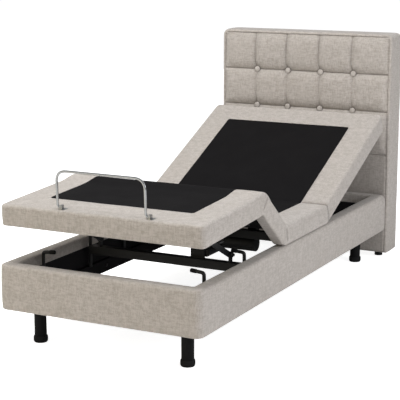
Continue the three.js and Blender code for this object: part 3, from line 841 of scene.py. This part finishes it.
def settle_cloth():
    """Let a flat cloth swell between the points that hold it, and read off its wrinkles."""
    nx = int(round(2 * CUSHION_HALF / CLOTH_PITCH)) + 1
    nz = int(round((CUSHION_TOP - CLOTH_LOW) / CLOTH_PITCH)) + 1
    xs, zs = spaced(-CUSHION_HALF, CUSHION_HALF, nx - 1), spaced(CLOTH_LOW, CUSHION_TOP, nz - 1)
    scene = bpy.context.scene
    field = cloth_field(xs, zs)
    for frame_number in range(1, CLOTH_FRAMES + 1):
        scene.frame_set(frame_number)
    settled = field.evaluated_get(bpy.context.evaluated_depsgraph_get())
    mesh = settled.to_mesh()
    heights = [[-mesh.vertices[j * nx + i].co.y for i in range(nx)] for j in range(nz)]
    settled.to_mesh_clear()
    bpy.data.objects.remove(field)
    scene.frame_set(1)
    return xs, zs, wrinkles(heights)


CLOTH_X, CLOTH_Z, CLOTH_FIELD = settle_cloth()


def cloth_wrinkle(x, z):
    """Wrinkle height between the simulated points."""
    if z <= CLOTH_LOW or z >= CUSHION_TOP or abs(x) >= CUSHION_HALF:
        return 0.0
    u = (x + CUSHION_HALF) / (CLOTH_X[1] - CLOTH_X[0])
    v = (z - CLOTH_LOW) / (CLOTH_Z[1] - CLOTH_Z[0])
    i, j = min(int(u), len(CLOTH_X) - 2), min(int(v), len(CLOTH_Z) - 2)
    u, v = u - i, v - j
    low = CLOTH_FIELD[j][i] * (1 - u) + CLOTH_FIELD[j][i + 1] * u
    high = CLOTH_FIELD[j + 1][i] * (1 - u) + CLOTH_FIELD[j + 1][i + 1] * u
    return low * (1 - v) + high * v


def tuft_height(x, z):
    """How far the front stands out from the seam plane."""
    tufted = smooth((z - (BUTTON_Z[1] - 0.11)) / 0.11)
    row = pillow(cell(z, ROW_EDGES), 3.0)
    column = pillow(cell(x, COLUMN_EDGES), 4.0)
    edge = smooth((CUSHION_HALF - abs(x)) / 0.03)
    height = 0.0004 + PAD_RISE * row * edge * (1 - 0.42 * tufted * (1 - column))
    for bz in BUTTON_Z:
        for bx in BUTTON_X:
            height -= BUTTON_DIMPLE * math.exp(-(math.hypot(x - bx, z - bz) / DIMPLE_REACH) ** 2)
    for bx in BUTTON_X:
        height -= furrow(fold_offset(x, z, bx), FOLD_DEPTH * fold_pull(z), FOLD_WIDTH)
    for seam_z, depth, _ in SEAMS:
        height -= furrow(z - seam_z, depth * smooth((CUSHION_HALF - abs(x)) / 0.008), SEAM_WIDTH)
    return height + (noise.noise(Vector((x * 9, 2.0, z * 9))) * 0.0010 + cloth_wrinkle(x, z))


def tuft_painted_shade(x, z):
    """Painted shade gathered in the seams, in the folds between the buttons and round each button."""
    if z < PLAIN_SEAM_Z - 0.01:
        return 0.0

    def band(strength, distance, reach):
        return strength * math.exp(-(distance / reach) ** 2)
    shades = [0.0]
    pull = fold_pull(z)
    for bx in BUTTON_X:
        d = abs(fold_offset(x, z, bx))
        shades += [band(0.55 * pull, d, 0.0030), band(0.16 * pull, d, 0.014)]
    shades += [band(shade, z - seam_z, 0.0028) for seam_z, _, shade in SEAMS]
    for bz in BUTTON_Z:
        for bx in BUTTON_X:
            d = math.hypot(x - bx, z - bz)
            shades += [band(0.62, d - 0.0145, 0.0040), band(0.20, d, 0.030)]
    return max(shades)


def axis_samples(lo, hi, lines, coarse, fine, reach):
    """Sample positions, close together near the lines and wide apart elsewhere."""
    out, p = [lo], lo
    while p < hi:
        near = min((abs(p - l) for l in lines), default=1.0)
        p += fine if near < reach else coarse
        out.append(min(p, hi))
    return sorted(set(out))


def build_head_cushion():
    """The tufted front as a height field, with a rim turned back to a flat face."""
    x_lines = (*BUTTON_X, -CUSHION_HALF, CUSHION_HALF)
    z_lines = (*BUTTON_Z, PLAIN_SEAM_Z, CUSHION_LOW, CUSHION_TOP)
    xs = axis_samples(-CUSHION_HALF, CUSHION_HALF, x_lines, 0.008, 0.0016, 0.018)
    zs = axis_samples(CUSHION_LOW, CUSHION_TOP, z_lines, 0.008, 0.0014, 0.014)
    verts, faces, painted_shade = [], [], []
    for z in zs:
        for x in xs:
            # painted shade of this point: seams, folds and the rings round the buttons are darkened
            painted_shade.append(tuft_painted_shade(x, z))
            edge = min(CUSHION_HALF - abs(x), CUSHION_TOP - z, (z - CUSHION_LOW) + 0.004)
            roll = end_inset(edge, 0.007)
            tufted = smooth((z - 0.445) / 0.05)
            y = SEAM_PLANE - tuft_height(x, z) * tufted - PLAIN_PAD * (1 - tufted) + roll
            verts.append((x, min(y, CUSHION_BACK - 0.002), z))
    w, h = len(xs), len(zs)
    for j in range(h - 1):
        for i in range(w - 1):
            a = j * w + i
            faces.append((a, a + 1, a + w + 1, a + w))
    rim = list(range(w)) + [j * w + w - 1 for j in range(1, h)]
    rim += [(h - 1) * w + i for i in range(w - 2, -1, -1)] + [j * w for j in range(h - 2, 0, -1)]
    start, n = len(verts), len(rim)
    verts += [(verts[r][0], CUSHION_BACK, verts[r][2]) for r in rim]
    painted_shade += [0.0] * n
    for i in range(n):
        k = (i + 1) % n
        faces.append((rim[i], start + i, start + k, rim[k]))
    faces.append(tuple(range(start, start + n)))
    cushion = mesh_object("headboard_cushion", verts, faces, [LINEN], painted_shade=painted_shade)
    sharp_by_angle(cushion, 60)
    fitted(cushion, "base")


def head_loop(inset, y, bulge=0.0):
    """Rounded rectangle in x and z at one depth of the headboard body."""
    high_corner = (max(0.030 - inset * 0.6, 0.004), 6)
    pairs = rounded_loop(HEAD_HALF - inset + bulge, HEAD_BOTTOM + min(inset, 0.006), HEAD_TOP - inset + bulge,
                         (0.004, 2), high_corner, 30, 24)
    return [Vector((x, y, z)) for x, z in pairs]


def head_levels():
    """Inset, depth and bulge of each loop, from the cushion's pocket over the front edge to the back face."""
    front, back = HEAD_FRONT + 0.004, HEAD_BACK
    levels = [(0.0121, CUSHION_BACK + 0.0006, 0.0), (0.0119, front + 0.003, 0.0)]
    levels.append((0.0114, front + 0.0006, 0.0))
    levels += [(inset, front + d, 0.0) for inset, d in arc(0.0105, 0.0105, 0.0105, -90, -180, 6)]
    for y in spaced(front + 0.022, back - 0.022, 8):
        t = (y - front) / (back - front)
        seam = 0.002 * math.exp(-((y - 1.075) / 0.004) ** 2)
        levels.append((0.0, y, 0.002 * math.sin(math.pi * t) - seam))
    levels += [(inset, back + d, 0.0) for inset, d in arc(0.012, -0.012, 0.012, 180, 90, 4)]
    return levels


def build_head_body():
    rings = []
    for inset, y, bulge in head_levels():
        ring = head_loop(inset, y, bulge)
        for p in ring:
            n = noise.noise(p * 6.0) * 0.0012
            if abs(p.x) > HEAD_HALF - 0.02:
                p.x += math.copysign(min(n, 0.0008), p.x)
            if p.z > HEAD_TOP - 0.02:
                p.z += min(n, 0.0)
        rings.append(ring)
    body = loft("headboard_body", rings, [LINEN])
    sharp_by_angle(body, 50)
    fitted(body, "base")
    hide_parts("headboard")


def piping(name, y, half, top, radius, low, r):
    """A sewn cord up one side, over the top and down the other."""
    pts = [(half, y, z) for z in spaced(low, top - radius, 16)]
    for i in range(1, 6):
        a = math.radians(90 * i / 6)
        pts.append((half - radius + radius * math.cos(a), y, top - radius + radius * math.sin(a)))
    pts += [(x, y, top) for x in spaced(half - radius, 0, 8)]
    pts += [(-x, y2, z) for x, y2, z in reversed(pts[:-1])]
    fitted(tube(name, pts, r, LINEN, 8, 3), "base")


BUTTON_PROFILE = ((0.0, -0.0140), (0.0100, -0.0140), (0.0122, -0.0070), (0.0134, -0.0022), (0.0137, -0.0006),
                  (0.0128, 0.0008), (0.0100, 0.0019), (0.0056, 0.0026), (0.0, 0.0028))
BUTTON_PAD = 0.013               # a button sits at the padding's level this far to its side


def build_buttons():
    for row, bz in enumerate(BUTTON_Z):
        for col, bx in enumerate(BUTTON_X):
            y = SEAM_PLANE - tuft_height(bx + BUTTON_PAD, bz + BUTTON_PAD)
            # the buttons use the lighter linen copy, a painted highlight
            button = lathe(f"headboard_button_{row}_{col}", BUTTON_PROFILE, LINEN_BUTTON_PAINTED_LIGHT,
                           (bx, y, bz), (0, -1, 0), 28)
            fitted(button, "base")


build_head_cushion()
build_head_body()
piping("headboard_piping_front", HEAD_FRONT + 0.0070, CUSHION_HALF + 0.0004, CUSHION_TOP + 0.0004,
       0.020, 0.06, 0.0018)
piping("headboard_piping_back", 1.0905, HEAD_HALF - 0.0052, HEAD_TOP - 0.0052, 0.026, 0.06, 0.002)
build_buttons()

# ---------------------------------------------------------------- CAD metalwork and small parts
paint([n for n in frame["nodes"] if n.startswith(("leg_foot", "leg_head"))], LEG)
paint(["batten_left", "batten_right"], LINING)
paint(["headboard_glide_left", "headboard_glide_right", "leg_actuator_motor", "back_motor_housing"], PLASTIC)
paint(["retainer_bar"], CHROME)
paint(["retainer_bracket_left", "retainer_bracket_right", "leg_actuator_tube", "leg_actuator_rod",
       "back_actuator_rod"], ZINC)
paint([n for n in frame["nodes"] if n.startswith(
    ("crossbar", "rest_rod", "seat_crossbar", "seat_post", "stay_link", "calf_bracket", "thigh_lever",
     "back_lever")) or "hinge_leaf" in n], STEEL)

LEG_X = 0.335
LEG_Y = {"foot": FOOT + 0.118, "head": FOOT + 1.935}
LEG_CAP_PROFILE = ((0.0257, 0.004), (0.0284, 0.004), (0.0292, 0.007), (0.0292, 0.020), (0.0280, 0.0245),
                   (0.0262, 0.0262), (0.0252, 0.0262))
REST_Y = {"foot": FOOT + 0.195, "knee": FOOT + 0.555}
# x and z along the bent rod, from its foot up
REST_PATH = ((0.3655, 0.2053), (0.3655, 0.262), (0.3655, 0.312), (0.3655, 0.338), (0.3640, 0.3480),
             (0.356, 0.3512), (0.345, 0.3522), (0.329, 0.3534))
REST_RADIUS = 0.0074
TIP_PROFILE = ((0.0, 0.0), (0.005, 0.0003), (0.0074, 0.0018), (0.0084, 0.0045), (0.0084, 0.024),
               (0.0080, 0.0262), (0.0070, 0.0268), (0.0, 0.0268))
TIP_X, TIP_Z = 0.3065, 0.3551
BOLT_PROFILE = ((0.0, 0.0), (0.0075, 0.0), (0.008, 0.001), (0.008, 0.0035), (0.0070, 0.0045), (0.0, 0.0045))
BOLT_X, BOLT_Z = 0.3750, 0.180
BOLT_Y = (FOOT + 0.70, FOOT + 1.50)
KNOB_PROFILE = ((0.0, 0.0), (0.0105, 0.0), (0.0115, 0.0015), (0.0115, 0.006), (0.0100, 0.008),
                (0.006, 0.0085), (0.006, 0.014), (0.0, 0.0145))
KNOB_AT = (0.3110, -0.5546, 0.3385)


def leg_cap(end, label, side):
    at = (side * LEG_X, LEG_Y[end], 0.0)
    cap = lathe(f"leg_cap_{end}_{label}", LEG_CAP_PROFILE, RUBBER, at, (0, 0, 1), 36)
    fitted(cap, "base")


def bent_rest(place, label, side):
    """A rest for the raised deck: a bent rod with a rubber tip."""
    y = REST_Y[place]
    bend = [(side * x, y, z) for x, z in REST_PATH]
    bar = tube(f"bent_rest_{place}_{label}", bend, REST_RADIUS, STEEL, 16, 6)
    fitted(bar, "base")
    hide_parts(f"rest_rod_{place}_{label}")
    at = (side * TIP_X, y, TIP_Z)
    tip = lathe(f"rest_tip_{place}_{label}", TIP_PROFILE, RUBBER, at, (side, 0, -0.07), 24)
    fitted(tip, "base")


def batten_bolts(label, side):
    for i, y in enumerate(BOLT_Y):
        at = (side * BOLT_X, y, BOLT_Z)
        bolt = lathe(f"batten_bolt_{label}_{i}", BOLT_PROFILE, STEEL, at, (-side, 0, 0), 6)
        fitted(bolt, "base")


def stay_bolt(label, side):
    x, y, z = KNOB_AT
    knob = lathe(f"stay_bolt_{label}", KNOB_PROFILE, STEEL, (side * x, y, z), (side, 0, 0), 18)
    fitted(knob, "base")


for label, side in (("left", -1), ("right", 1)):
    for end in LEG_Y:
        leg_cap(end, label, side)
    for place in REST_Y:
        bent_rest(place, label, side)
    batten_bolts(label, side)
    stay_bolt(label, side)

# ---------------------------------------------------------------- stage, light and camera
AMBIENT = 0.42                   # sky strength for everything but the view itself, which sees pure white
SKY_SEEN = 1.02
FLOOR_GLOW = 0.86                # emission that only the view sees
FLOOR_HALF = 9


def build_floor():
    corners = [(x * FLOOR_HALF, y * FLOOR_HALF, 0) for x, y in ((-1, -1), (1, -1), (1, 1), (-1, 1))]
    floor = mesh_object("floor", corners, [(0, 1, 2, 3)], [], rounded=False)
    white, nodes, links, bsdf = new_material("floor_white")
    coords = nodes.new("ShaderNodeTexCoord")
    mottle = noise_node(nodes, links, coords, 3, 2)
    links.new(math_node(nodes, links, "MULTIPLY_ADD", mottle, 0.05, 0.85), bsdf.inputs["Roughness"])
    bsdf.inputs["Base Color"].default_value = (0.85, 0.85, 0.85, 1)
    bsdf.inputs["Emission Color"].default_value = (1, 1, 1, 1)
    path = nodes.new("ShaderNodeLightPath")
    glow = math_node(nodes, links, "MULTIPLY", path.outputs["Is Camera Ray"], FLOOR_GLOW)
    links.new(glow, bsdf.inputs["Emission Strength"])
    floor.data.materials.append(white)


def build_sky():
    world = bpy.data.worlds.new("studio")
    bpy.context.scene.world = world
    world.use_nodes = True
    nodes, links = world.node_tree.nodes, world.node_tree.links
    background = nodes["Background"]
    background.inputs["Color"].default_value = (1, 1, 1, 1)
    path = nodes.new("ShaderNodeLightPath")
    seen = path.outputs["Is Camera Ray"]
    strength = math_node(nodes, links, "MULTIPLY_ADD", seen, SKY_SEEN - AMBIENT, AMBIENT)
    links.new(strength, background.inputs["Strength"])


def softbox(name, location, target, size, power, colour):
    light = bpy.data.lights.new(name, "AREA")
    light.shape = "RECTANGLE"
    light.size, light.size_y = size
    light.energy = power
    light.color = colour
    obj = bpy.data.objects.new(name, light)
    obj.location = location
    direction = Vector(target) - Vector(location)
    obj.rotation_euler = direction.to_track_quat("-Z", "Y").to_euler()
    bpy.context.scene.collection.objects.link(obj)
    return obj


build_floor()
build_sky()
softbox("key_top", (-0.7, -1.05, 3.6), (0, 0.0, 0.3), (1.8, 1.8), 90, (0.96, 0.98, 1.0))
softbox("front_warm", (-1.6, -4.4, 1.5), (0, -0.8, 0.3), (2.2, 1.6), 41, (1.0, 0.89, 0.64))
softbox("right_cool", (4.0, -0.7, 1.9), (0.3, 0.2, 0.45), (2.4, 2.0), 77, (0.95, 0.97, 1.0))

CAMERA_AT = Vector((2.5243, -5.1677, 1.6123))
CAMERA_YAW = math.radians(27.046)          # turned left of the y axis
CAMERA_PITCH = math.radians(11.575)        # looking down
CAMERA_LENS = 116.78


def build_camera(scene):
    data = bpy.data.cameras.new("camera")
    data.sensor_width = 36.0
    data.lens = CAMERA_LENS
    data.clip_end = 100.0
    camera = bpy.data.objects.new("camera", data)
    camera.location = CAMERA_AT
    view = Vector((-math.sin(CAMERA_YAW) * math.cos(CAMERA_PITCH),
                   math.cos(CAMERA_YAW) * math.cos(CAMERA_PITCH), -math.sin(CAMERA_PITCH)))
    camera.rotation_euler = view.to_track_quat("-Z", "Y").to_euler()
    scene.collection.objects.link(camera)
    scene.camera = camera


scene = bpy.context.scene
scene.view_settings.view_transform = "Standard"
scene.view_settings.look = "None"
build_camera(scene)
